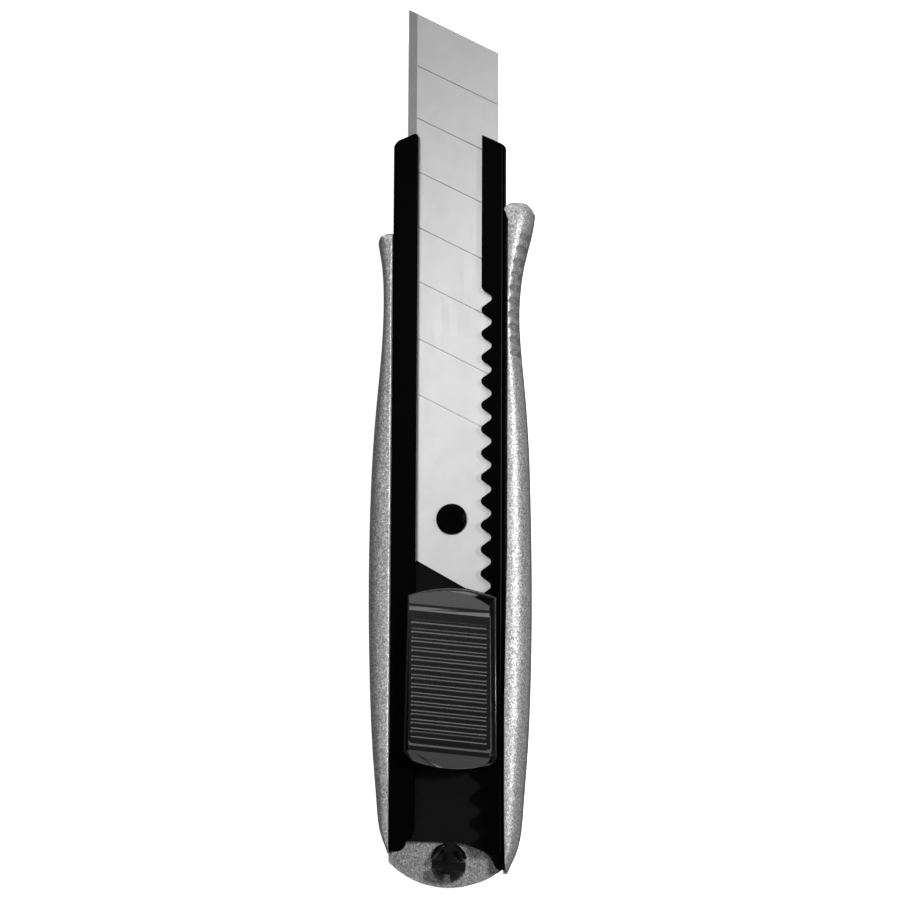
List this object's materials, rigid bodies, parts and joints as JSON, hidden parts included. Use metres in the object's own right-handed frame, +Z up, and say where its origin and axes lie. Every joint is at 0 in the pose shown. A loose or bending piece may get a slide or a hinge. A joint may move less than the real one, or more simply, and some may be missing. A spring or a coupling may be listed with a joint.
{
  "type": "utility knife",
  "caption": "Snap-off utility knife with a silver cast handle, a black notched blade rail, a scored blade and a ribbed thumb slider that locks.",
  "frame": {"origin": "on the flat back of the handle, below the middle of the body's length and the rail's centre line", "axes": "+Y along the knife towards the blade tip, +X towards the notched side of the rail, +Z up, out of the slider's face"},
  "size_m": [0.0325, 0.173, 0.0166],
  "materials": {
    "silver_paint": "granular silver paint",
    "black_coat": "satin",
    "black_plastic": "matte",
    "blade_steel": "satin",
    "spring_steel": "satin",
    "plain_steel": "satin"
  },
  "bodies": {
    "handle": {"handle_casting": "silver_paint", "blade_rail": "black_coat", "rail_lock_plug": "black_plastic", "rail_rivet": "plain_steel"},
    "carriage": {"blade": "blade_steel", "blade_stud": "black_coat", "blade_carrier": "black_coat", "lock_spring": "spring_steel", "spring_rivet": "plain_steel"},
    "thumb_piece": {"thumb_slider": "black_plastic", "cross_pins": "plain_steel"}
  },
  "joints": [
    {"name": "blade_slide", "type": "slide", "parent": "handle", "child": "carriage", "axis": [0, 1, 0], "range_m": [-0.02814, 0.07504], "deforming": ["lock_spring"]},
    {"name": "slider_press", "type": "slide", "parent": "carriage", "child": "thumb_piece", "axis": [0, 0, -1], "range_m": [0, 0.001], "stiffness_N_per_m": 800, "deforming": ["lock_spring"]}
  ]
}
